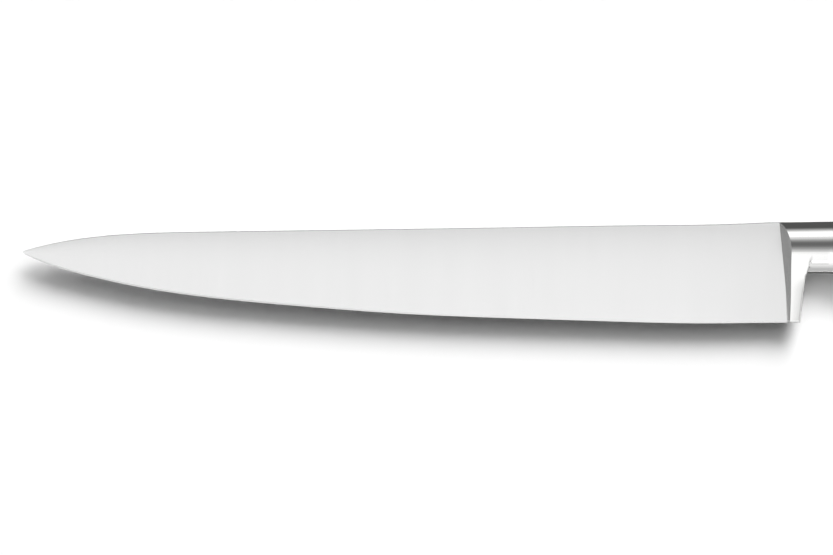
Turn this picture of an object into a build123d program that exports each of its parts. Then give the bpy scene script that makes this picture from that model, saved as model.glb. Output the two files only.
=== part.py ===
from build123d import *
import os
from math import cos, radians, sin, tan

# A forged carving knife lying on its side. X runs from the tip to the butt, Y points to the
# spine, and Z points up, square to the flat of the blade. Lengths are in millimetres.
# The origin is below the middle of the knife, on the surface that the right scale lies on.

# Blade
blade_length = 200.0
blade_height = 26.3
spine_thickness = 2.5
tip_thickness = 0.8
tip_height = 0.9
tip_radius = 0.85
edge_thickness = 0.34
edge_bevel_height = 0.45
spine_rounding = 0.25

# Bolster: a ramp up from the blade, an oval neck and a heel that reaches down to the edge
neck_length = 18.0
neck_height = 13.4
neck_thickness = 11.2
neck_flat = 0.6
neck_rise = 0.5
neck_drop = 1.4
ramp_angle = 63.0
ramp_lean = 5.5
ramp_hollow = 0.12
heel_width = 3.7
heel_thickness = 1.8
heel_slant = 5.9
heel_rounding = 0.7
heel_root_radius = 0.8

# Handle: the tang between two scales
handle_length = 130.0
handle_height = 19.5
scale_thickness = 5.7
scale_rounding = 4.5
butt_top_radius = 7.0
butt_beak_radius = 5.5

# Rivets: a hollow sleeve from the right side and a pin from the left, with flush heads
rivet_head_diameter = 7.0
rivet_head_depth = 1.8
sleeve_diameter = 4.6
pin_diameter = 3.0
fit_clearance = 0.05
end_clearance = 0.2

# Outlines, as shares of the sizes that they follow. Blade points go from the heel to the tip:
# share of the blade's length, then drop of the spine or rise of the edge over its height.
spine_shares = (
    (0.06, 0.0145), (0.19, 0.0310), (0.37, 0.0520), (0.57, 0.0745), (0.76, 0.0945), (0.85, 0.1120), (0.90, 0.1405),
    (0.95, 0.1950), (0.98, 0.2460)
)
edge_shares = (
    (0.04, -0.0025), (0.10, -0.0070), (0.24, 0.0150), (0.37, 0.0465), (0.50, 0.0880), (0.64, 0.1660), (0.77, 0.2630),
    (0.85, 0.3570), (0.90, 0.4390), (0.95, 0.5390), (0.98, 0.6200)
)
tip_drop_share = 0.289
blade_section_shares = (
    0.0, 0.04, 0.09, 0.15, 0.22, 0.29, 0.36, 0.43, 0.50, 0.57, 0.64, 0.71, 0.78, 0.84, 0.89, 0.93, 0.96, 0.98, 1.0
)
grind_bulge_share = 0.07

# Handle points go from the scales' front to the butt: share of the scales' length, then height
# above the neck's axis as a share of the handle's height.
crown_share = 0.41
crown_place_share = 0.28
butt_corner_share = 0.955
handle_top_shares = ((0.62, 0.355), (butt_corner_share, 0.12))
handle_bottom_shares = ((0.20, -0.57), (0.57, -0.50), (butt_corner_share, -0.84))
neck_section_shares = (-0.4, -0.2, 0.0, 0.25, 0.5, 0.7, 0.85, 1.0)
neck_flare_power = 3
heel_tangent_share = 0.35
rivets = {"front": 0.15, "middle": 0.5, "rear": 0.83}

# Places that follow
tang_thickness = spine_thickness
half_handle = tang_thickness / 2 + scale_thickness
overall_length = blade_length + handle_length
tip_x = -overall_length / 2
heel_x = tip_x + blade_length
neck_end_x = heel_x + neck_length
butt_x = heel_x + handle_length
scale_length = handle_length - neck_length
edge_dip = -min(rise for _, rise in edge_shares) * blade_height
edge_drop = blade_height - neck_height / 2
neck_y = (edge_drop + edge_dip - crown_share * handle_height) / 2
spine_y = neck_y + neck_height / 2
edge_y = neck_y - edge_drop
tip_y = spine_y - tip_drop_share * blade_height
blade_z = half_handle
top_end_y = spine_y + neck_rise
bottom_end_y = neck_y - neck_height / 2 - neck_drop
overrun = neck_height


def handle_point(share, height_share):
    return (neck_end_x + share * scale_length, neck_y + height_share * handle_height)


def blade_point(share, y):
    return (heel_x - share * blade_length, y)


# Spine and edge, drawn at the middle of the blade's thickness. Both start just inside the ramp.
ramp_run_per_rise = 1 / tan(radians(ramp_angle))
root_overlap = heel_width / 4
spine_root_x = heel_x - blade_height * tan(radians(ramp_lean)) + spine_thickness * ramp_run_per_rise / 2
middle = Plane.XY.offset(blade_z)

with BuildLine() as outline_lines:
    spine_points = [blade_point(share, spine_y - drop * blade_height) for share, drop in spine_shares]
    spine = Spline(
        (spine_root_x + root_overlap, spine_y),
        *spine_points,
        (tip_x, tip_y + tip_height / 2),
    )
    edge_points = [blade_point(share, edge_y + rise * blade_height) for share, rise in edge_shares]
    edge = Spline(
        (heel_x + root_overlap, edge_y),
        *edge_points,
        (tip_x, tip_y - tip_height / 2),
    )
    handle_top = Spline(
        (neck_end_x, top_end_y),
        handle_point(crown_place_share, crown_share),
        *[handle_point(*shares) for shares in handle_top_shares],
    )
    handle_bottom = Spline(
        (neck_end_x, bottom_end_y),
        *[handle_point(*shares) for shares in handle_bottom_shares],
        tangents=[(neck_length, -neck_flare_power * neck_drop), (neck_length, -neck_drop)],
    )

# The blade: sections across it, each with a flat spine, convex ground sides and a sharpened bevel
with BuildPart() as blade:
    for share in blade_section_shares:
        foot = edge @ share
        rise = spine @ share - foot
        height = rise.length
        half_spine = (spine_thickness + share * (tip_thickness - spine_thickness)) / 2
        half_edge = edge_thickness / 2
        side_end = height - spine_rounding
        round_middle = spine_rounding * (1 - 1 / 2**0.5)
        bulge = (half_spine + half_edge) / 2 + grind_bulge_share * half_spine
        section = Plane(origin=foot + Vector(0, 0, blade_z), x_dir=rise, z_dir=rise.cross(Vector(0, 0, 1)))
        with BuildSketch(section):
            with BuildLine():
                Line((0, 0), (edge_bevel_height, half_edge))
                ThreePointArc(
                    (edge_bevel_height, half_edge),
                    ((edge_bevel_height + side_end) / 2, bulge),
                    (side_end, half_spine),
                )
                ThreePointArc(
                    (side_end, half_spine),
                    (height - round_middle, half_spine - round_middle),
                    (height, half_spine - spine_rounding),
                )
                Line((height, half_spine - spine_rounding), (height, spine_rounding - half_spine))
                ThreePointArc(
                    (height, spine_rounding - half_spine),
                    (height - round_middle, round_middle - half_spine),
                    (side_end, -half_spine),
                )
                ThreePointArc(
                    (side_end, -half_spine),
                    ((edge_bevel_height + side_end) / 2, -bulge),
                    (edge_bevel_height, -half_edge),
                )
                Line((edge_bevel_height, -half_edge), (0, 0))
            make_face()
    loft()
    # The tip is rounded to its radius.
    with BuildSketch(middle):
        with Locations((tip_x, tip_y)):
            Rectangle(2 * tip_radius, 4 * tip_radius)
        with Locations((tip_x + tip_radius, tip_y)):
            Circle(tip_radius, mode=Mode.SUBTRACT)
    extrude(amount=spine_thickness, both=True, mode=Mode.SUBTRACT)

# The heel below the neck: as wide as its outline, and tapering in thickness towards the edge
with BuildPart() as heel:
    heel_front_x = heel_x - overrun
    heel_top_y = neck_y - heel_tangent_share * neck_height / 2
    heel_top_x = heel_x + heel_width + (heel_top_y - edge_y) * tan(radians(heel_slant))
    with BuildSketch(middle):
        with BuildLine():
            Polyline(
                (heel_front_x, heel_top_y),
                (heel_front_x, edge_y),
                (heel_x + heel_width, edge_y),
                (heel_top_x, heel_top_y),
                close=True,
            )
        make_face()
    extrude(amount=neck_thickness, both=True)
    heel_top_half = neck_thickness / 2 * (1 - heel_tangent_share**2) ** 0.5
    across = Plane(origin=(heel_x, 0, blade_z), x_dir=(0, 1, 0), z_dir=(1, 0, 0))
    with BuildSketch(across):
        with BuildLine():
            Polyline(
                (heel_top_y, heel_top_half),
                (edge_y, heel_thickness / 2),
                (edge_y, -heel_thickness / 2),
                (heel_top_y, -heel_top_half),
                close=True,
            )
        make_face()
    extrude(amount=2 * overrun, both=True, mode=Mode.INTERSECT)
    rear_face = heel.faces().sort_by(Axis.X)[-1]
    rear_edges = rear_face.edges().filter_by(Axis.Z, reverse=True)
    fillet(rear_edges, heel_rounding)

# The neck: ovals that flare towards the handle, where they match the scales' section
with BuildPart() as neck:
    for share in neck_section_shares:
        flare = max(share, 0) ** neck_flare_power
        top = spine_y + neck_rise * flare
        bottom = neck_y - neck_height / 2 - neck_drop * flare
        half_height = (top - bottom) / 2
        half_thickness = neck_thickness / 2 + (half_handle - neck_thickness / 2) * flare
        top_flat = neck_flat / 2 + (half_handle - scale_rounding - neck_flat / 2) * flare
        end_side_flat = (top_end_y - bottom_end_y) / 2 - scale_rounding
        side_flat = neck_flat / 2 + (end_side_flat - neck_flat / 2) * flare
        x = heel_x + neck_length * share
        place = Plane(origin=(x, (top + bottom) / 2, blade_z), x_dir=(0, 1, 0), z_dir=(1, 0, 0))
        corner = (half_height - side_flat, half_thickness - top_flat)
        with BuildSketch(place):
            with BuildLine():
                Line((half_height, -top_flat), (half_height, top_flat))
                EllipticalCenterArc((side_flat, top_flat), *corner, start_angle=0)
                Line((side_flat, half_thickness), (-side_flat, half_thickness))
                EllipticalCenterArc((-side_flat, top_flat), *corner, start_angle=90)
                Line((-half_height, top_flat), (-half_height, -top_flat))
                EllipticalCenterArc((-side_flat, -top_flat), *corner, start_angle=180)
                Line((-side_flat, -half_thickness), (side_flat, -half_thickness))
                EllipticalCenterArc((side_flat, -top_flat), *corner, start_angle=270)
            make_face()
    loft()

# The bolster: neck and heel in one, blended where the heel leaves the neck, and cut to a ramp that
# leans towards the tip and rises from the middle of the blade on both sides
with BuildPart() as bolster:
    add(neck.part)
    add(heel.part)
    underside = bolster.edges().filter_by(GeomType.BSPLINE).filter_by_position(
        Axis.X, heel_x + heel_width, heel_top_x
    )
    fillet(underside, heel_root_radius)
    ramp_rise = half_handle + overrun
    ramp_run = ramp_rise * ramp_run_per_rise
    hollow = Vector(ramp_rise, -ramp_run).normalized() * ramp_hollow
    lean = radians(ramp_lean)
    along_ramp = Plane(
        origin=(heel_x, edge_y, blade_z), x_dir=(cos(lean), sin(lean), 0), z_dir=(-sin(lean), cos(lean), 0)
    )
    with BuildSketch(along_ramp):
        with BuildLine():
            for side in (1, -1):
                ThreePointArc(
                    (0, 0),
                    (ramp_run / 2 + hollow.X, side * (ramp_rise / 2 + hollow.Y)),
                    (ramp_run, side * ramp_rise),
                )
                Line((ramp_run, side * ramp_rise), (handle_length, side * ramp_rise))
            Line((handle_length, ramp_rise), (handle_length, -ramp_rise))
        make_face()
    extrude(amount=2 * blade_height, both=True, mode=Mode.INTERSECT)

# The outline that tang and scales share
with BuildSketch(middle) as handle_outline:
    with BuildLine():
        add(handle_top)
        add(handle_bottom)
        Line(handle_top @ 0, handle_bottom @ 0)
        butt_middle = ((handle_top @ 1).Y + (handle_bottom @ 1).Y) / 2
        ThreePointArc(handle_top @ 1, (butt_x, butt_middle), handle_bottom @ 1)
    make_face()
    fillet(handle_outline.vertices().sort_by_distance(handle_bottom @ 1)[0], butt_beak_radius)
    fillet(handle_outline.vertices().sort_by_distance(handle_top @ 1)[0], butt_top_radius)

# The forging: blade, bolster and full tang in one piece of steel, with the holes for the rivets
rivet_places = [((handle_top @ share) + (handle_bottom @ share)) / 2 for share in rivets.values()]
with BuildPart() as forged_blade:
    add(bolster.part)
    add(blade.part)
    add(handle_outline.sketch)
    extrude(amount=tang_thickness / 2, both=True)
    with BuildSketch(middle):
        with Locations(*rivet_places):
            Circle(sleeve_diameter / 2 + fit_clearance)
    extrude(amount=tang_thickness, both=True, mode=Mode.SUBTRACT)

# The scales: flat outside where the knife lies on them, and rounded along the whole outline
left_face = middle.offset(half_handle)
with BuildPart() as left_scale:
    with BuildSketch(middle.offset(tang_thickness / 2)):
        add(handle_outline.sketch)
    extrude(amount=scale_thickness)
    outer_face = left_scale.faces().sort_by(Axis.Z)[-1]
    front_edge = outer_face.edges().sort_by(Axis.X)[0]
    fillet(outer_face.edges() - [front_edge], scale_rounding)
    with Locations(*[left_face.from_local_coords(place) for place in rivet_places]):
        CounterBoreHole(
            radius=sleeve_diameter / 2 + fit_clearance,
            counter_bore_radius=rivet_head_diameter / 2 + fit_clearance,
            counter_bore_depth=rivet_head_depth,
        )

with BuildPart() as right_scale:
    add(left_scale.part.mirror(middle))

# The rivets: the sleeve comes up from the right side, and the pin goes down into its bore
shank_length = 2 * half_handle - 2 * rivet_head_depth - end_clearance
right_face = middle.offset(-half_handle)
rivet_nodes = {}
for rivet, place in zip(rivets, rivet_places):
    with BuildPart() as rivet_sleeve:
        with BuildSketch(right_face):
            with Locations(place):
                Circle(rivet_head_diameter / 2)
        extrude(amount=rivet_head_depth)
        with BuildSketch(right_face.offset(rivet_head_depth)):
            with Locations(place):
                Circle(sleeve_diameter / 2)
                Circle(pin_diameter / 2 + fit_clearance, mode=Mode.SUBTRACT)
        extrude(amount=shank_length)
    with BuildPart() as rivet_pin:
        with BuildSketch(left_face):
            with Locations(place):
                Circle(rivet_head_diameter / 2)
        extrude(amount=-rivet_head_depth)
        with BuildSketch(left_face.offset(-rivet_head_depth)):
            with Locations(place):
                Circle(pin_diameter / 2)
        extrude(amount=-shank_length)
    rivet_nodes["rivet_sleeve_" + rivet] = rivet_sleeve.part
    rivet_nodes["rivet_pin_" + rivet] = rivet_pin.part

forged_blade.part.label = "forged_blade"
left_scale.part.label = "left_scale"
right_scale.part.label = "right_scale"
os.makedirs("parts", exist_ok=True)
export_step(forged_blade.part, "parts/forged_blade.step")
export_step(left_scale.part, "parts/left_scale.step")
export_step(right_scale.part, "parts/right_scale.step")
for name, rivet_node in rivet_nodes.items():
    rivet_node.label = name
    export_step(rivet_node, "parts/" + name + ".step")
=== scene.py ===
# %% [markdown]
# A forged carving knife, lying on its side on a white table and seen from straight above.
# The knife was drawn in CAD first, and that model is the frame: everything here is in metres, in its
# coordinates. X runs from the tip to the butt, Y points to the spine, and Z points up.
# The frame is loaded before anything else, so that each piece made later can be fitted to it.

# %% Load the frame
import math

import bmesh
import bpy
import mathutils
import numpy as np
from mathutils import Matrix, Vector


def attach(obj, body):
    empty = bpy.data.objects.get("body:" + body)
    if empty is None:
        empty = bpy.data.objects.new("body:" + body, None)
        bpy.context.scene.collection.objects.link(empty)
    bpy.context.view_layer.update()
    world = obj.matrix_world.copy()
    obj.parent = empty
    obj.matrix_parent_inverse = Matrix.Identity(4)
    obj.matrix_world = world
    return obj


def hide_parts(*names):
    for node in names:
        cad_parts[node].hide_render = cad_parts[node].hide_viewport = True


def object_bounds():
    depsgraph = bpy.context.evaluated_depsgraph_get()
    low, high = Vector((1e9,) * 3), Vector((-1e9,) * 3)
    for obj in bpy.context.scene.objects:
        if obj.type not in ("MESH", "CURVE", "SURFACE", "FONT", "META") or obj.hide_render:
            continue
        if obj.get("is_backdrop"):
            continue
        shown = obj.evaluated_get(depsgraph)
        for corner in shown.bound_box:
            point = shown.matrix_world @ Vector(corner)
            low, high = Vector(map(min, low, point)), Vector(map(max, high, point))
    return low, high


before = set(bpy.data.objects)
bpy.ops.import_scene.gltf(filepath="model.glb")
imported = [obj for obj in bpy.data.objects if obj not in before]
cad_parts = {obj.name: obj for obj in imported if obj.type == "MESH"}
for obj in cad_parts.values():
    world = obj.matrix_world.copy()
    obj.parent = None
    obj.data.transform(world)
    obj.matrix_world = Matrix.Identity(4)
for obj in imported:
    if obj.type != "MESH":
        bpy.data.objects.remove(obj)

MM = 0.001


def in_mm(metres):
    """Lengths in metres as rounded millimetres, for printing."""
    return [round(v / MM, 2) for v in metres]


cad_low, cad_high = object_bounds()
print("CAD box in mm:", in_mm((*cad_low, *cad_high)))

# %% [markdown]
# Three tools are used all the way through. Steel, plastic and paper are described by the colours that
# we see on a screen, but Blender reckons with the amount of light, so one function turns the first
# into the second. Another adds one node to a material, with its settings and its links, which keeps
# each material's recipe short enough to read like a list. The last puts a new object into the scene.

# %% Colours, nodes and objects
def linear(hex_colour):
    """A screen colour such as #E8E8E6 as linear light by the sRGB standard, and a full alpha."""
    shares = [int(hex_colour[i:i + 2], 16) / 255 for i in (1, 3, 5)]
    return (*[s / 12.92 if s <= 0.04045 else ((s + 0.055) / 1.055) ** 2.4 for s in shares], 1.0)


def add_node(tree, kind, settings, sockets):
    """Adds a node. Sockets are given by name or number, as a value or as another node's output."""
    made = tree.nodes.new("ShaderNode" + kind)
    for name, value in settings.items():
        setattr(made, name, value)
    for socket, value in sockets.items():
        if isinstance(value, bpy.types.NodeSocket):
            tree.links.new(value, made.inputs[socket])
        else:
            made.inputs[socket].default_value = value
    return made


def empty_material(name):
    """A material with no nodes yet, and its node tree."""
    material = bpy.data.materials.new(name)
    material.use_nodes = True
    material.node_tree.nodes.clear()
    return material, material.node_tree


def put_in_scene(name, data):
    """A new object in the scene, made of a mesh, a camera or a light."""
    made = bpy.data.objects.new(name, data)
    bpy.context.scene.collection.objects.link(made)
    return made


WHITE = linear("#FFFFFF")
print("white is", WHITE, "and mid grey is", [round(v, 3) for v in linear("#808080")])

# %% [markdown]
# The photograph looks straight down on the flat of the blade, and nothing in it converges. A long lens
# from high up gives that view. The knife lies on its handle, so the middle plane of the blade is half a
# handle's thickness above the table. The picture is 218.3 mm wide there, which sets the distance, and
# the handle runs out of the picture on the right.

# %% Camera
HALF_HANDLE = 6.95
BLADE_PLANE = HALF_HANDLE * MM
PICTURE_WIDTH = 218.3 * MM
PICTURE_CENTRE = (-61.83 * MM, -1.88 * MM)
# The lens is given in millimetres, and the nearest and farthest thing that it draws in metres.
LENS, NEAREST, FARTHEST = 300, 0.1, 50

camera = put_in_scene("camera", bpy.data.cameras.new("camera"))
bpy.context.scene.camera = camera
camera.data.lens = LENS
camera.data.clip_start, camera.data.clip_end = NEAREST, FARTHEST
camera_height = PICTURE_WIDTH * LENS / camera.data.sensor_width
camera.location = (*PICTURE_CENTRE, BLADE_PLANE + camera_height)
print("camera stands", round(camera_height, 3), "m above the blade")

# %% [markdown]
# The table is plain white paper with no gloss. It is far larger than the picture, so that it also
# carries the views from the side out to the horizon. The light that falls on it adds up to the level
# at which white paper renders as white, and the knife's shadow stays on it.

# %% Floor
TABLE_SIZE = 24.0


def flat_sheet(name, width, depth, material):
    """A flat rectangle in the XY plane, centred on the origin, that isn't part of the knife."""
    bm = bmesh.new()
    bmesh.ops.create_grid(bm, x_segments=1, y_segments=1, size=0.5)
    bmesh.ops.scale(bm, vec=(width, depth, 1), verts=bm.verts)
    mesh = bpy.data.meshes.new(name)
    bm.to_mesh(mesh)
    bm.free()
    mesh.materials.append(material)
    sheet = put_in_scene(name, mesh)
    sheet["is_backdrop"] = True
    return sheet


paper, tree = empty_material("white_matt_paper")
matt = add_node(tree, "BsdfDiffuse", {}, {"Color": linear("#FEFEFE")})
add_node(tree, "OutputMaterial", {}, {"Surface": matt.outputs[0]})
table = flat_sheet("table", TABLE_SIZE, TABLE_SIZE, paper)
print("table is", table.dimensions.x, "m wide")

# %% [markdown]
# The studio is a white tent. What polished steel mirrors, and what the camera sees past the table, is
# plain white. For light that falls on matt surfaces the tent gives only a weak fill, so that the lamps
# can draw a shadow. One world does both, because its Light Path node tells these rays apart.

# %% World
FILL = 0.08

world = bpy.data.worlds.new("white_tent")
bpy.context.scene.world = world
world.use_nodes = True
tree = world.node_tree
tree.nodes.clear()
path = add_node(tree, "LightPath", {}, {})
seen = add_node(tree, "Math", {"operation": "ADD"},
                {0: path.outputs["Is Camera Ray"], 1: path.outputs["Is Glossy Ray"]})
seen = add_node(tree, "Math", {"operation": "ADD", "use_clamp": True},
                {0: seen.outputs[0], 1: path.outputs["Is Transmission Ray"]})
fill = add_node(tree, "Background", {}, {"Color": WHITE, "Strength": FILL})
white = add_node(tree, "Background", {}, {"Color": WHITE, "Strength": 1.0})
tent = add_node(tree, "MixShader", {}, {0: seen.outputs[0], 1: fill.outputs[0], 2: white.outputs[0]})
add_node(tree, "OutputWorld", {}, {"Surface": tent.outputs[0]})
print("the tent is seen as white and fills with", FILL, "of it")

# %% [markdown]
# Two large soft lamps behind the spine do the work. A sun lamp with a wide disc is such a lamp without
# falloff: its tilt sets how far the shadow is pushed towards the edge, and its width how softly it ends.
# The narrow one gives the shadow its dark core, and the wide one lets it fade out. The thick handle
# shades more of the table under the neck than the photograph shows, so a small spot from the front
# lifts the shadow there. The steel doesn't mirror the lamps, because the cards of the next step draw it.

# %% Lamps
# Each sun lamp has a name and its light on the table, and in degrees its tilt, turn and width.
LAMPS = (("narrow_lamp", 0.60, 48, 22, 32), ("wide_lamp", 0.36, 36, 30, 52))
SPOT_LIGHT, SPOT_RADIUS, SPOT_SIZE = 0.6, 9.0, 10.0
SPOT_FROM, SPOT_AT = (50, -165, 350), (51, -14.5, 0)

received = FILL
for name, light, tilt, turn, width in LAMPS:
    lamp = put_in_scene(name, bpy.data.lights.new(name, "SUN"))
    lamp.data.energy = light * math.pi / math.cos(math.radians(tilt))
    lamp.data.angle = math.radians(width)
    lamp.rotation_euler = (-math.radians(tilt), 0, -math.radians(turn))
    lamp.visible_glossy = False
    received += light

spot = put_in_scene("small_spot", bpy.data.lights.new("small_spot", "SPOT"))
spot.location = [v * MM for v in SPOT_FROM]
aim = mathutils.Vector(SPOT_AT) - mathutils.Vector(SPOT_FROM)
spot.rotation_euler = aim.to_track_quat("-Z", "Y").to_euler()
distance, slant = aim.length * MM, aim.length / SPOT_FROM[2]
spot.data.spot_size = 2 * math.atan(SPOT_RADIUS * MM / distance)
spot.data.spot_blend = 1.0
spot.data.shadow_soft_size = SPOT_SIZE * MM
# A lamp of this power gives the paper below it SPOT_LIGHT, as it spreads its light over a sphere.
spot.data.energy = SPOT_LIGHT * 4 * math.pi ** 2 * distance ** 2 * slant
spot.visible_glossy = False
print("white paper receives", round(received, 2), "of the light that makes it white")

# %% [markdown]
# Polished steel in an all-white tent has no form, because it mirrors nothing but white. Photographers
# stand cards round it, and their edges and fades draw the shape. These cards are met only by mirror
# rays, so they cast no shadow and never stand in the picture. Each has one plain tone and can fade out
# across its depth, so that its reflection ends softly where the photograph's does.

# %% Material of the cards
def card_material(name, light, stops):
    """A board of one light that fades along its own Y. Stops are (share of its depth, cover)."""
    material, tree = empty_material(name)
    place = add_node(tree, "TexCoord", {}, {})
    axes = add_node(tree, "SeparateXYZ", {}, {0: place.outputs["Generated"]})
    cover = add_node(tree, "ValToRGB", {}, {0: axes.outputs["Y"]})
    while len(cover.color_ramp.elements) < len(stops):
        cover.color_ramp.elements.new(0.5)
    for element, (share, value) in zip(cover.color_ramp.elements, stops):
        element.position = share
        element.color = (value, value, value, 1)
    clear = add_node(tree, "BsdfTransparent", {}, {})
    board = add_node(tree, "Emission", {}, {"Color": WHITE, "Strength": light})
    mixed = add_node(tree, "MixShader", {}, {0: cover.outputs[0], 1: clear.outputs[0], 2: board.outputs[0]})
    add_node(tree, "OutputMaterial", {}, {"Surface": mixed.outputs[0]})
    return material


def place_card(name, size, centre, turn, light, stops=((0.0, 1.0), (1.0, 1.0))):
    """Puts a card of size mm at a place in mm, turned about X and then Z by turn, in degrees."""
    card = flat_sheet(name, size[0] * MM, size[1] * MM, card_material(name, light, stops))
    card.location = [c * MM for c in centre]
    card.rotation_euler = (math.radians(turn[0]), 0, math.radians(turn[1]))
    card.visible_camera = card.visible_diffuse = card.visible_shadow = False
    card.visible_transmission = card.visible_volume_scatter = False
    print(name, "is", size, "mm and gives", light, "of white")


# %% [markdown]
# A faded black card hangs over the neck and draws the dark band along it. Behind the spine lies a
# black card with a raised end, which darkens the neck's upper rim. In front lie a grey one, also with a
# raised end, which shades the neck's lower side, and a small dark one close by, which stands in for the
# table's shadow where the neck mirrors it: a painted shadow that deepens the line at its foot. A wall
# beyond the tip darkens the ramp, and a grey card high over the handle shades the heel where it falls
# off to its rear. Two bright boards give the neck its white stripes.

# %% Cards
OVER_NECK = ((0.0, 0.0), (0.125, 0.14), (0.22, 0.365), (0.31, 0.656), (0.40, 0.847), (0.49, 0.895),
             (0.58, 0.86), (0.69, 0.65), (0.81, 0.26), (1.0, 0.0))
BEHIND_HIGH = ((0.0, 1.0), (0.15, 1.0), (0.25, 0.93), (0.56, 0.68), (0.85, 0.20), (1.0, 0.0))
FRONT_HIGH = ((0.0, 1.0), (0.09, 0.80), (0.38, 0.50), (0.68, 0.17), (0.85, 0.0), (1.0, 0.0))
BEYOND_TIP = ((0.0, 0.10), (0.12, 0.30), (0.30, 1.0), (0.90, 1.0), (1.0, 0.60))
BEYOND_HANDLE = ((0.0, 0.05), (0.045, 0.12), (0.125, 0.30), (0.23, 0.40), (0.51, 0.58), (1.0, 0.75))

place_card("card_over_neck", (21, 13.6), (45.5, 8.1, 18), (0, 0), 0.04, OVER_NECK)
place_card("card_behind_low", (400, 200), (0, 112, 0.4), (0, 0), 0.095)
place_card("card_behind_high", (400, 130), (0, 212, 65), (90, 0), 0.095, BEHIND_HIGH)
place_card("card_front_low", (400, 196), (0, -113, 0.4), (0, 0), 0.55)
# Painted shadow: a dark card seen only in the mirror, where the table under the neck is in shade.
place_card("card_painted_shadow_under_neck", (60, 11.5), (64, -6.9, 0.3), (0, 0), 0.14)
place_card("card_front_high", (400, 120), (0, -211, 60), (90, 0), 0.57, FRONT_HIGH)
place_card("card_beyond_tip", (800, 900), (-560, 0, 510), (90, 90), 0.32, BEYOND_TIP)
place_card("card_beyond_handle", (500, 400), (230, -250, 200), (0, -90), 0.30, BEYOND_HANDLE)
place_card("board_front", (300, 250), (60, -173, 236), (38, 0), 1.3)
place_card("board_behind", (300, 220), (60, 262, 160), (-62, 0), 1.25)

# %% [markdown]
# All the steel here is one stainless steel, and what differs is how it was worked. So one recipe takes
# its two tints, its gloss and the sizes of its marks. A noise stretched along the scratches stands for
# them: the same fine marks change the tint and the gloss a little and raise the surface, and broad
# ones keep a large surface from looking printed.

# %% Recipe for steel
NOISE_DETAIL, BROAD_DETAIL, NOISE_ROUGHNESS = 3.0, 1.0, 0.6
NOISE_LOW, NOISE_HIGH, BROAD_SHARE = 0.3, 0.7, 0.4


def grain(tree, spacing, detail):
    """Noise whose marks have those sizes along X, Y and Z in millimetres, on Object coordinates."""
    place = add_node(tree, "TexCoord", {}, {})
    stretch = add_node(tree, "Mapping", {}, {
        "Vector": place.outputs["Object"], "Scale": tuple(1 / (s * MM) for s in spacing)})
    return add_node(tree, "TexNoise", {}, {
        "Vector": stretch.outputs[0], "Scale": 1.0, "Detail": detail, "Roughness": NOISE_ROUGHNESS})


def steel(name, light, dark, roughness, fine_size, broad_size, relief_depth):
    """Stainless steel with fine marks and broad ones. Returns material, tree, shader and tint."""
    material, tree = empty_material(name)
    fine, broad = grain(tree, fine_size, NOISE_DETAIL), grain(tree, broad_size, BROAD_DETAIL)
    both = add_node(tree, "Mix", {"data_type": "FLOAT"}, {
        0: BROAD_SHARE, 2: fine.outputs["Fac"], 3: broad.outputs["Fac"]})
    tint = add_node(tree, "Mix", {"data_type": "RGBA"}, {
        0: both.outputs[0], 6: linear(dark), 7: linear(light)})
    rough = add_node(tree, "MapRange", {}, {
        "Value": both.outputs[0], "From Min": NOISE_LOW, "From Max": NOISE_HIGH,
        "To Min": roughness[0], "To Max": roughness[1]})
    relief = add_node(tree, "Bump", {}, {
        "Strength": 1.0, "Distance": relief_depth * MM, "Height": fine.outputs["Fac"]})
    shader = add_node(tree, "BsdfPrincipled", {}, {
        "Base Color": tint.outputs[2], "Metallic": 1.0, "Roughness": rough.outputs[0],
        "Normal": relief.outputs[0]})
    add_node(tree, "OutputMaterial", {}, {"Surface": shader.outputs[0]})
    print(name, "has marks of", fine_size, "and", broad_size, "mm")
    return material, tree, shader, tint


# %% [markdown]
# The blade is ground crosswise on a belt. The grinding leaves fine scratches from the spine to the
# edge, which give the satin sheen: they scatter the light along the blade and keep it tight across it,
# so the highlight is stretched. The scratches are about 0.03 mm apart on a real blade, too fine to
# show, so they are drawn 0.35 mm apart and faint. The strip along the spine has painted shade: its
# colour is darkened towards the spine to stand for the shade where the blade turns away from the
# light, and its mesh carries how far down from the spine a place is.

# %% Satin steel of the blade
STRETCH, SPINE_SHADE, SHADE_FALL = 0.5, 0.82, 4.0

satin_steel, tree, shader, tint = steel(
    "stainless_steel_satin_ground", "#F2F2F2", "#E9E9E9", (0.19, 0.25), (0.35, 14, 14), (5, 60, 60), 0.0005)
shader.inputs["Anisotropic"].default_value = STRETCH
lengthwise = add_node(tree, "CombineXYZ", {}, {0: 1.0, 1: 0.0, 2: 0.0})
tree.links.new(lengthwise.outputs[0], shader.inputs["Tangent"])
# Painted shade: the colour darkens towards the spine, where the blade turns from the light.
down = add_node(tree, "Attribute", {"attribute_name": "share_from_spine"}, {})
rest = add_node(tree, "Math", {"operation": "SUBTRACT", "use_clamp": True},
                {0: 1.0, 1: down.outputs["Fac"]})
near = add_node(tree, "Math", {"operation": "POWER"}, {0: rest.outputs[0], 1: SHADE_FALL})
shade = add_node(tree, "MapRange", {}, {"Value": near.outputs[0], "To Min": 1.0, "To Max": SPINE_SHADE})
spine_shade_painted = add_node(tree, "Mix", {"data_type": "RGBA", "blend_type": "MULTIPLY"}, {
    0: 1.0, 6: tint.outputs[2], 7: shade.outputs[0]})
tree.links.new(spine_shade_painted.outputs[2], shader.inputs["Base Color"])

# %% [markdown]
# The bevel at the edge is honed on a fine stone, so it looks a little duller and even. The bolster gets
# its mirror from felt wheels, which leave only a haze, and so it shows the cards. The tang's rim is
# ground flush with the handle, and its lengthwise scratches blur what it mirrors into streaks. The
# rivets' heads are ground in the same pass, with shorter marks.

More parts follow.
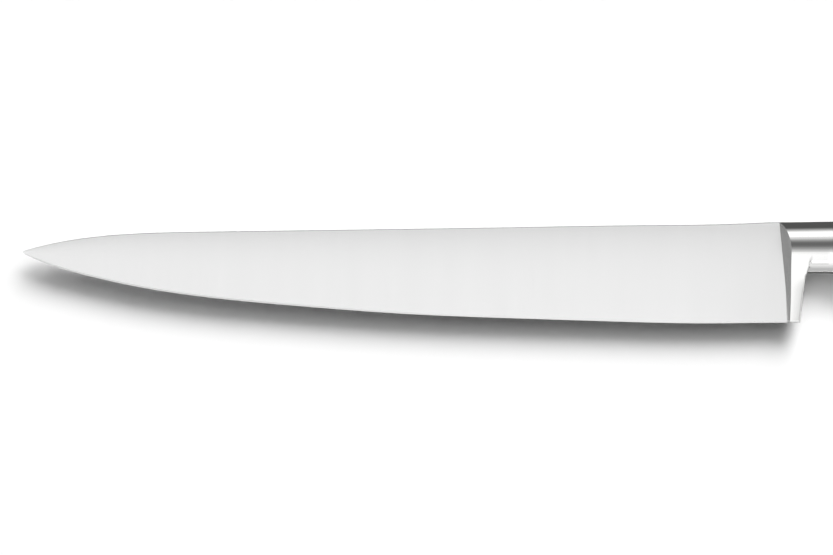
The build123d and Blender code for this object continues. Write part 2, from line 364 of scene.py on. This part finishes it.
# %% The other steels
honed_steel = steel("stainless_steel_honed_edge", "#DCDCDC", "#D2D2D2", (0.24, 0.32),
                    (0.3, 0.3, 0.3), (6, 6, 6), 0.0003)[0]
polished_steel = steel("stainless_steel_mirror_polished", "#F4F4F3", "#EEEEED", (0.04, 0.08),
                       (1.2, 1.2, 1.2), (7, 7, 7), 0.00003)[0]
tang_steel = steel("stainless_steel_ground_flush", "#E6E6E4", "#D4D4D2", (0.18, 0.28),
                   (10, 0.25, 0.25), (30, 4, 4), 0.0005)[0]
rivet_steel = steel("stainless_steel_rivet_head", "#EBEBEA", "#D8D8D6", (0.14, 0.24),
                    (6, 0.2, 2), (9, 3, 3), 0.0004)[0]

# %% [markdown]
# Blade, bolster and tang are one forging, but the maker finishes them in three ways, so they are three
# pieces here. Their outlines are smooth curves through a few measured points. The CAD model was drawn
# through the same points, so the pieces keep its size and place. A draughtsman bends a thin strip of
# wood through such points, and the function below does the same with sums. The blade's points are
# shares of its length and of its height, from the heel on.

# %% Outline of the blade, in millimetres
HEEL_X, TIP_X, NECK_END_X = 35.0, -165.0, 53.0
SPINE_START_X, ROOT_X = 34.0, 35.9
BLADE_LENGTH, BLADE_HEIGHT, TIP_HEIGHT = 200.0, 26.3, 0.5
NECK_Y, SPINE_Y, EDGE_Y, TIP_Y = 5.895, 12.595, -13.705, 4.80
SPINE_DROPS = (
    (0.06, 0.0145), (0.19, 0.0310), (0.37, 0.0520), (0.57, 0.0745), (0.76, 0.0945), (0.85, 0.1120),
    (0.90, 0.1405), (0.95, 0.1950), (0.98, 0.2460))
EDGE_RISES = (
    (0.04, -0.0025), (0.10, -0.0070), (0.24, 0.0150), (0.37, 0.0465), (0.50, 0.0880), (0.64, 0.1660),
    (0.77, 0.2630), (0.85, 0.3570), (0.90, 0.4390), (0.95, 0.5390), (0.98, 0.6200))


def smooth_line(points):
    """A function that gives the height y of a smooth curve through the points at any x."""
    x, y = np.array(sorted(points)).T
    gap = np.diff(x)
    slope = np.diff(y) / gap
    balance, pull = np.eye(len(x)), np.zeros(len(x))
    for i in range(1, len(x) - 1):
        balance[i, i - 1:i + 2] = gap[i - 1], 2 * (gap[i - 1] + gap[i]), gap[i]
        pull[i] = 6 * (slope[i] - slope[i - 1])
    bend = np.linalg.solve(balance, pull)

    def height(at):
        i = np.clip(np.searchsorted(x, at) - 1, 0, len(gap) - 1)
        left, right = (x[i + 1] - at) / gap[i], (at - x[i]) / gap[i]
        sag = (left ** 3 - left) * bend[i] + (right ** 3 - right) * bend[i + 1]
        return left * y[i] + right * y[i + 1] + sag * gap[i] ** 2 / 6
    return height


spine_line = smooth_line(
    [(SPINE_START_X, SPINE_Y), (ROOT_X, SPINE_Y), (TIP_X, TIP_Y + TIP_HEIGHT / 2)]
    + [(HEEL_X - along * BLADE_LENGTH, SPINE_Y - drop * BLADE_HEIGHT) for along, drop in SPINE_DROPS])
edge_line = smooth_line(
    [(ROOT_X, EDGE_Y), (TIP_X, TIP_Y - TIP_HEIGHT / 2)]
    + [(HEEL_X - along * BLADE_LENGTH, EDGE_Y + rise * BLADE_HEIGHT) for along, rise in EDGE_RISES])
middle_x = HEEL_X - BLADE_LENGTH / 2
print("blade is", round(float(spine_line(middle_x) - edge_line(middle_x)), 2), "mm high half way")

# %% [markdown]
# Blade and bolster are made in the same way, because both have two equal sides of slowly changing
# form. One side starts as a flat grid, and its vertices are moved to where the steel is. The mirror
# operator makes the other side, the halves are welded, and the open ends are closed. A piece is made in
# millimetres round the blade's middle plane and brought to metres and to its place at the end. An edge
# that bends more than its sharp angle stays crisp, and everything else is shaded smoothly.

# %% From a grid to a piece of steel
SAME_PLACE, WELDED, NEAR = 1e-5, 1e-4, 1e-3


def shaped_grid(places):
    """A bmesh grid moved to places, an array of stations x rows x 3 in millimetres."""
    stations, rows = places.shape[:2]
    bm = bmesh.new()
    bmesh.ops.create_grid(bm, x_segments=stations - 1, y_segments=rows - 1, size=0.5)
    for v in bm.verts:
        v.co = places[round((v.co.x + 0.5) * (stations - 1)), round((v.co.y + 0.5) * (rows - 1))]
    return bm


def fill_and_face_out(bm):
    """Closes the open ends and turns all faces outwards."""
    bmesh.ops.holes_fill(bm, edges=[e for e in bm.edges if e.is_boundary], sides=0)
    bmesh.ops.recalc_face_normals(bm, faces=bm.faces)


def close_both_sides(bm):
    """Mirrors one side through the middle plane, welds the halves and closes the ends."""
    bmesh.ops.mirror(bm, geom=bm.verts[:] + bm.edges[:] + bm.faces[:], axis="Z", merge_dist=SAME_PLACE)
    bmesh.ops.remove_doubles(bm, verts=bm.verts, dist=WELDED)
    bmesh.ops.dissolve_degenerate(bm, edges=bm.edges, dist=SAME_PLACE)
    fill_and_face_out(bm)


def steel_piece(name, bm, materials, sharp_angle):
    """Turns a bmesh in millimetres, centred on the blade's plane, into a piece of the forging."""
    bmesh.ops.scale(bm, vec=(MM, MM, MM), verts=bm.verts)
    bmesh.ops.translate(bm, vec=(0, 0, BLADE_PLANE), verts=bm.verts)
    for face in bm.faces:
        face.smooth = True
    for e in bm.edges:
        e.smooth = e.calc_face_angle(0) < math.radians(sharp_angle)
    open_count = sum(not e.is_manifold for e in bm.edges)
    mesh = bpy.data.meshes.new(name)
    bm.to_mesh(mesh)
    bm.free()
    for material in materials:
        mesh.materials.append(material)
    piece = put_in_scene(name, mesh)
    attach(piece, "root")
    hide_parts("forged_blade")
    print(name, len(mesh.polygons), "faces,", open_count, "open edges, box in mm:",
          in_mm(v for corner in (0, 6) for v in piece.bound_box[corner]))


# %% [markdown]
# A blade could be a stretched box, but its beauty lies in slow changes. It thins from heel to tip and
# from spine to edge, and ends in a small round nose. So the grid's stations stand across the blade, close
# together near the tip, and each gets its own height, thickness, bevel and rounding.

# %% Stations of the blade
STATIONS, TIP_CROWDING = 180, 1.6
SPINE_THICKNESS, TIP_THICKNESS, EDGE_THICKNESS = 2.5, 0.8, 0.34
EDGE_BEVEL, SPINE_ROUNDING, FULL_BEVEL_HEIGHT = 0.45, 0.25, 4.0
TIP_RADIUS, NOSE_LENGTH = 0.25, 0.15

share = np.linspace(0, 1, STATIONS) ** TIP_CROWDING
x = TIP_X + (ROOT_X - TIP_X) * share
from_tip = x - TIP_X
nose = np.sqrt(np.clip(1 - (1 - from_tip / TIP_RADIUS) ** 2, 0, 1)) * TIP_RADIUS
high_y = np.where(from_tip < TIP_RADIUS, np.minimum(spine_line(x), TIP_Y + nose), spine_line(x))
low_y = np.where(from_tip < TIP_RADIUS, np.maximum(edge_line(x), TIP_Y - nose), edge_line(x))
height = high_y - low_y
nose_share = np.clip(from_tip / NOSE_LENGTH, 0, 1)
thinning = np.sqrt(1 - (1 - nose_share) ** 2)
half_spine = (TIP_THICKNESS + (SPINE_THICKNESS - TIP_THICKNESS) * share) / 2 * thinning
half_edge = EDGE_THICKNESS / 2 * thinning
scale = np.clip(height / FULL_BEVEL_HEIGHT, 0, 1)
bevel, rounding = EDGE_BEVEL * scale, SPINE_ROUNDING * scale
print("blade is", round(float(height.max()), 2), "mm high at its highest station")

# %% [markdown]
# Across each station the side runs from the edge over the honed bevel, up the flank and round the
# spine. The flank bulges a little, because a belt gives way, and that bulge bends the highlight. The
# faces of the bevel get the honed finish, and each vertex keeps how far down from the spine it lies.

# %% Blade
SIDE_ROWS, ROUND_ROWS, GRIND_BULGE = 30, 5, 0.07
BLADE_SHARP_ANGLE, LEAST_DROP = 14, 0.1

zero = np.zeros(STATIONS)
rows = [(zero, zero), (bevel, half_edge)]
for q in np.linspace(0, 1, SIDE_ROWS)[1:]:
    side = half_edge + (half_spine - half_edge) * q + 4 * GRIND_BULGE * half_spine * q * (1 - q)
    rows.append((bevel + (height - rounding - bevel) * q, side))
for angle in np.linspace(0, math.pi / 2, ROUND_ROWS)[1:]:
    rows.append((height - rounding * (1 - math.sin(angle)), half_spine - rounding * (1 - math.cos(angle))))
rows.append((height, zero))
bm = shaped_grid(np.array([(x, low_y + up, out) for up, out in rows]).transpose(2, 0, 1))
for face in bm.faces:
    if (max(v.co.z for v in face.verts) <= EDGE_THICKNESS / 2 + WELDED
            and all(v.co.y < low_y[np.abs(x - v.co.x).argmin()] + EDGE_BEVEL + NEAR for v in face.verts)):
        face.material_index = 1
# How far down from the spine each vertex lies, which the blade's colour uses for its painted shade.
share_down = bm.verts.layers.float.new("share_from_spine")
for v in bm.verts:
    top, drop = np.interp(v.co.x, x, high_y), np.interp(v.co.x, x, height)
    v[share_down] = float(top - v.co.y) / max(float(drop), LEAST_DROP)
close_both_sides(bm)
steel_piece("ground_blade", bm, [satin_steel, honed_steel], BLADE_SHARP_ANGLE)

# %% [markdown]
# The bolster is where blade and handle meet. An oval neck runs into the handle, a heel drops from it to
# the edge to guard the finger, and a slanting ramp leads down to the blade. It could be joined from
# three solids, but polishing has blended them, so it is modelled as one skin. The next three steps say
# how high that skin stands over the middle plane, first for the neck. It is an oval that rises a little
# along its length and then swells into the rounded oblong of the handle.

# %% Neck of the bolster
NECK_HEIGHT, NECK_THICKNESS, NECK_FLAT = 13.4, 11.2, 0.6
NECK_RISE, NECK_DROP, NECK_TAPER = 0.5, 1.4, 0.25
SWELL_X, SCALE_ROUNDING, BORDER = 45.5, 4.5, 1e-6

neck_bottom = NECK_Y - NECK_HEIGHT / 2


def ease(t):
    """A share that starts and ends slowly."""
    t = np.clip(t, 0, 1)
    return t ** 3 * (t * (6 * t - 15) + 10)


def neck_section(x):
    """Top, bottom and half thickness of the neck at x, and its flats at the rim and at the side."""
    swell = ease((x - SWELL_X) / (NECK_END_X - SWELL_X))
    taper = NECK_TAPER * np.clip((x - HEEL_X) / (NECK_END_X - HEEL_X), 0, 1)
    top = SPINE_Y + taper + (NECK_RISE - NECK_TAPER) * swell
    bottom = neck_bottom - NECK_DROP * swell
    half = NECK_THICKNESS / 2 + (HALF_HANDLE - NECK_THICKNESS / 2) * swell
    rim = NECK_FLAT / 2 + (HALF_HANDLE - SCALE_ROUNDING - NECK_FLAT / 2) * swell
    side = ((NECK_HEIGHT + NECK_RISE + NECK_DROP) / 2 - SCALE_ROUNDING) * swell
    return top, bottom, half, rim, side


def oval_height(x, y):
    """Height of the neck's oval over the middle plane, and 0 beside the neck."""
    top, bottom, half, rim, side = neck_section(x)
    reach = (top - bottom) / 2
    off = np.abs(y - (top + bottom) / 2)
    bent = np.clip((off - side) / (reach - side), 0, 1)
    return np.where(off < reach + BORDER, rim + (half - rim) * np.sqrt(1 - bent ** 2), 0)


print("neck is", round(2 * float(oval_height(SWELL_X, NECK_Y)), 2), "mm thick in the middle")

# %% [markdown]
# The heel is thin at the edge and as thick as the neck's flank at its top, where the two meet without a
# seam. A felt wheel has rounded it: it falls off softly to its rear, and more steeply at its foot, and
# its rear edge is broken. Higher up the soft fall fades out, and where the heel ends beside the neck
# only a short and nearly upright wall is left, the crease that the photograph shows there.

# %% Heel of the bolster
HEEL_WIDTH, HEEL_THICKNESS, HEEL_SLANT = 3.7, 3.0, math.tan(math.radians(5.9))
HEEL_TOP_Y, HEEL_TOP_HALF = 3.857, 5.348
HEEL_ROUNDING, HEEL_ROOT, LEAST_HEEL = 0.3, 0.8, 0.15
FOOT_DROP, FOOT_SPAN = 0.35, 0.45
REAR_DROP, REAR_SPAN, REAR_SHARE, FADE_LOW, FADE_SPAN = 0.5, 1.15, 0.4, 5.0, 5.0
WALL_OUT, WALL_SLANT, WALL_RUN = 0.35, 0.25, 0.12


def rear_x(y):
    """Where the heel's rear edge is at y."""
    return HEEL_X + HEEL_WIDTH + (y - EDGE_Y) * HEEL_SLANT


root_y = neck_bottom - HEEL_ROOT
root_rear = rear_x(root_y)


def body_height(x, y):
    """Height of neck and heel together, before the ramp is cut."""
    rise = np.clip((y - EDGE_Y) / (HEEL_TOP_Y - EDGE_Y), 0, 1)
    heel = HEEL_THICKNESS / 2 + (HEEL_TOP_HALF - HEEL_THICKNESS / 2) * rise
    heel = heel - FOOT_DROP * np.clip(1 - (y - EDGE_Y) / FOOT_SPAN, 0, 1) ** 2
    oval = oval_height(x, y)
    # How far inside the heel a place is, from its rear edge, from the inner corner or from the wall.
    wall_x = root_rear + WALL_OUT + WALL_SLANT * (y - neck_bottom)
    past_wall = np.where(y > root_y, x - wall_x, x - rear_x(y))
    round_root = np.hypot(x - root_rear - HEEL_ROOT, y - root_y) - HEEL_ROOT
    inside = np.where(y > root_y, np.minimum(round_root, -past_wall), rear_x(y) - x)
    inside = np.clip(inside, 0, None)
    # The soft fall to the rear, and the broken edge itself.
    broad = np.minimum(REAR_DROP, REAR_SHARE * heel) * np.exp(-inside / REAR_SPAN)
    broad = broad * (1 - ease((y - neck_bottom + FADE_LOW) / FADE_SPAN))
    corner = np.clip(inside, 0, HEEL_ROUNDING)
    shoulder = HEEL_ROUNDING - np.sqrt(np.maximum(HEEL_ROUNDING ** 2 - (HEEL_ROUNDING - corner) ** 2, 0))
    kept = np.clip(heel - broad - shoulder, LEAST_HEEL, None) / heel
    kept = kept * (1 - np.clip(past_wall / WALL_RUN, 0, 1))
    return np.where(y < HEEL_TOP_Y, oval + np.maximum(heel - oval, 0) * kept, oval)


half_way = (EDGE_Y + neck_bottom) / 2
print("heel is", round(2 * float(body_height(HEEL_X + 2, half_way)), 2), "mm thick half way down")

# %% [markdown]
# The ramp is ground across neck and heel at a slant. It rises from the blade along a slightly curved
# foot line. Towards the edge it gets steeper, and a fillet leads into it, as a polishing wheel leaves
# it. The skin is the lower of the ramp and the body, so the two meet in a crisp crease.

# %% Ramp of the bolster
RAMP_FOOT = ((EDGE_Y, 35.24), (-4.74, 34.86), (1.03, 34.33), (6.82, 33.78), (SPINE_Y, 33.21))
RAMP_SLOPE, SLOPE_GAIN = 1.95, 1.2
FOOT_FILLET, FOOT_SLOPE_SHARE, FILLET_FROM_Y = 1.2, 0.35, 7.0

foot_line = smooth_line(RAMP_FOOT)


def blade_half(y):
    """Half the blade's thickness at y where it runs into the ramp."""
    q = (y - EDGE_Y) / BLADE_HEIGHT
    straight = (EDGE_THICKNESS + (SPINE_THICKNESS - EDGE_THICKNESS) * q) / 2
    return straight + 2 * GRIND_BULGE * SPINE_THICKNESS * q * (1 - q)


def ramp_height(x, y):
    """Height of the ramp, with a fillet along its foot and a slope that both grow towards the edge."""
    low = np.clip((FILLET_FROM_Y - y) / (FILLET_FROM_Y - EDGE_Y), 0, 1)
    lost = (1 - FOOT_SLOPE_SHARE) * low * FOOT_FILLET / 2
    run = x - foot_line(y)
    bent = np.clip(run / FOOT_FILLET, 0, 1)
    return blade_half(y) + (run - lost * (2 * bent - bent ** 2)) * (RAMP_SLOPE + SLOPE_GAIN * low)


def skin_height(x, y):
    """The lower of body and ramp."""
    return np.minimum(body_height(x, y), ramp_height(x, y))


foot_half = float(ramp_height(foot_line(NECK_Y), NECK_Y))
print("blade is", round(2 * foot_half, 2), "mm thick at the ramp's foot, half way up the neck")

# %% [markdown]
# A plain grid over this skin would cut its crease into teeth. So the grid's lines are rays that leave
# the rear and lower outline, fan round the inner corner, and end at the neck's top or where the ramp
# has sunk into the blade. For each ray the shares of its length are worked out at which it crosses the
# crease, so that rows of vertices can lie on it exactly. One ray of the fan only grazes the crease, and
# beside it the crossings move fast. So its angle is found by halving, and more rays are set close to it.

# %% Rays over the bolster
HEEL_RAYS, FAN_RAYS, NECK_RAYS, FOOT_CROWDING = 34, 46, 44, 1.2
RAY_REACH, END_STEPS, CREASE_STEPS = 22.0, 4000, 2000
GRAZING_RAYS, GRAZING_RANGE, HALVINGS = 9, (100, 125), 16
CLOSEST_RAY, LAST_RAY = 0.0003, 0.06

root_x = root_rear + HEEL_ROOT


def crossings(along, values):
    """The places along a line where the values change sign."""
    changes = np.flatnonzero((values[:-1] > 0) != (values[1:] > 0))
    return [float(along[i] + (along[i + 1] - along[i]) * values[i] / (values[i] - values[i + 1]))
            for i in changes]


def traced(start, step):
    """Start and end of a ray over the skin, and the shares of it at which it crosses the crease."""
    start, step = np.array(start), np.array(step)
    along = np.linspace(0, RAY_REACH, END_STEPS + 1)
    x, y = (start + step * along[:, None]).T
    left = np.minimum(ramp_height(x, y), neck_section(x)[0] - y)
    end = start + step * crossings(along, left)[0]
    along = np.linspace(0, 1, CREASE_STEPS + 1)
    x, y = (start + (end - start) * along[:, None]).T
    return start, end, crossings(along[1:-1], (body_height(x, y) - ramp_height(x, y))[1:-1])


def fan_ray(angle):
    """Start and direction of the ray that leaves the inner corner at an angle."""
    step = (math.cos(angle), math.sin(angle))
    return (root_x + HEEL_ROOT * step[0], root_y + HEEL_ROOT * step[1]), step


missing, meeting = (math.radians(limit) for limit in GRAZING_RANGE)
for _ in range(HALVINGS):
    middle = (missing + meeting) / 2
    if traced(*fan_ray(middle))[2]:
        meeting = middle
    else:
        missing = middle
close = np.geomspace(CLOSEST_RAY, LAST_RAY, GRAZING_RAYS)
angles = [*np.linspace(math.pi, math.pi / 2, FAN_RAYS)[1:], *(missing - close), *(meeting + close)]

rays = []
for share in np.linspace(0, 1, HEEL_RAYS) ** FOOT_CROWDING:
    y = EDGE_Y + (root_y - EDGE_Y) * share
    rays.append(((rear_x(y), y), (-1.0, 0.0)))
rays += [fan_ray(angle) for angle in sorted(angles, reverse=True)]
for x in np.linspace(root_x, NECK_END_X, NECK_RAYS)[1:]:
    rays.append(((x, float(neck_section(x)[1])), (0.0, 1.0)))
print(len(rays), "rays, and the grazing one leaves at", round(math.degrees(missing), 2), "degrees")

# %% [markdown]
# Along each ray the rows of vertices are shared out between the stretches before, on and past the ramp,
# and stand closer where the oval turns fast. A ray that misses the ramp takes its rows from the ray
# before it. The skin keeps a small height at its rim, so that the mirrored half never touches it there,
# and a last row on the middle plane closes it.

# %% Bolster
BODY_ROWS, RAMP_ROWS, TOP_ROWS = 60, 10, 24
BOLSTER_SHARP_ANGLE, LEAST_SKIN = 40, 0.1

body, ramp, top = (np.linspace(0, 1, count) for count in (BODY_ROWS, RAMP_ROWS, TOP_ROWS))
body, top = (1 - np.cos(body * math.pi)) / 2, (1 - np.cos(top * math.pi)) / 2
lines = []
for start, end, creases in [traced(*ray) for ray in rays]:
    enter, leave = (*creases, 1.0)[:2] if creases else (enter, enter)
    shares = [*(enter * body), *(enter + (leave - enter) * ramp)[1:], *(leave + (1 - leave) * top)[1:]]
    points = start + (end - start) * np.array(shares)[:, None]
    heights = np.maximum(skin_height(*points.T), LEAST_SKIN)
    lines.append([(*start, 0.0), *np.column_stack([points, heights]), (*end, 0.0)])
bm = shaped_grid(np.array(lines))
close_both_sides(bm)
steel_piece("polished_bolster", bm, [polished_steel], BOLSTER_SHARP_ANGLE)

# %% [markdown]
# Behind the bolster the forging goes on as a flat tang between the scales, and only its rim shows, as a
# bright line round the handle. Its outline and rivet holes are already right in the CAD model, so the
# tang is cut from a copy of that mesh, whose loose triangles are welded first. It starts a hair behind
# the bolster's end, so that no two faces lie in one place.

# %% Tang
TANG_GAP, TANG_SHARP_ANGLE = 0.02, 30

bm = bmesh.new()
bm.from_mesh(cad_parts["forged_blade"].data)
bmesh.ops.translate(bm, vec=(0, 0, -BLADE_PLANE), verts=bm.verts)
bmesh.ops.scale(bm, vec=(1 / MM, 1 / MM, 1 / MM), verts=bm.verts)
bmesh.ops.remove_doubles(bm, verts=bm.verts, dist=NEAR)
bmesh.ops.bisect_plane(bm, geom=bm.verts[:] + bm.edges[:] + bm.faces[:], dist=SAME_PLACE,
                       plane_co=(NECK_END_X + TANG_GAP, 0, 0), plane_no=(-1, 0, 0), clear_outer=True)
fill_and_face_out(bm)
for face in bm.faces:
    face.material_index = 0
steel_piece("polished_tang", bm, [tang_steel], TANG_SHARP_ANGLE)

# %% [markdown]
# The scales are black acetal, a hard plastic, moulded and then buffed lengthwise together with the
# tang. Buffing leaves a half gloss with fine lines along the handle, and use polishes some patches more
# than others. The rivets' heads are flush and ground the same way. All of them have the right shape in
# the CAD model, so its meshes stay and only get their finish.

# %% Handle finish
SOFT_DETAIL, WEAR_SHARE = 2.0, 0.55
LEAST_ROUGH, MOST_ROUGH, PLASTIC_IOR = 0.26, 0.42, 1.48
GRIP_DEPTH, LINE_DEPTH = 0.002, 0.0015

black_acetal, tree = empty_material("black_acetal_moulded_and_buffed")
buffing = grain(tree, (12, 0.22, 0.22), NOISE_DETAIL)
wear = grain(tree, (14, 6, 6), SOFT_DETAIL)
grip = grain(tree, (0.5, 0.5, 0.5), SOFT_DETAIL)
tint = add_node(tree, "Mix", {"data_type": "RGBA"}, {
    0: wear.outputs["Fac"], 6: linear("#161617"), 7: linear("#1F1F20")})
mixed = add_node(tree, "Mix", {"data_type": "FLOAT"}, {
    0: WEAR_SHARE, 2: buffing.outputs["Fac"], 3: wear.outputs["Fac"]})
rough = add_node(tree, "MapRange", {}, {
    "Value": mixed.outputs[0], "From Min": NOISE_LOW, "From Max": NOISE_HIGH,
    "To Min": LEAST_ROUGH, "To Max": MOST_ROUGH})
pores = add_node(tree, "Bump", {}, {
    "Strength": 1.0, "Distance": GRIP_DEPTH * MM, "Height": grip.outputs["Fac"]})
fine_lines = add_node(tree, "Bump", {}, {
    "Strength": 1.0, "Distance": LINE_DEPTH * MM, "Height": buffing.outputs["Fac"],
    "Normal": pores.outputs[0]})
shader = add_node(tree, "BsdfPrincipled", {}, {
    "Base Color": tint.outputs[2], "Roughness": rough.outputs[0], "IOR": PLASTIC_IOR,
    "Normal": fine_lines.outputs[0]})
add_node(tree, "OutputMaterial", {}, {"Surface": shader.outputs[0]})

for name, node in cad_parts.items():
    if name.endswith("scale"):
        node.material_slots[0].material = black_acetal
    elif name.startswith("rivet"):
        node.material_slots[0].material = rivet_steel
print("handle pieces:", sorted(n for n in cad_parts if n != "forged_blade"))

# %% [markdown]
# The finished knife's box is written down beside the CAD model's, so that the two can be compared.
# The Standard view shows each colour as it was given.

# %% Size and end
low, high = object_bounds()
print("scene box in mm:", in_mm((*low, *high)))

bpy.context.scene.view_settings.view_transform = "Standard"
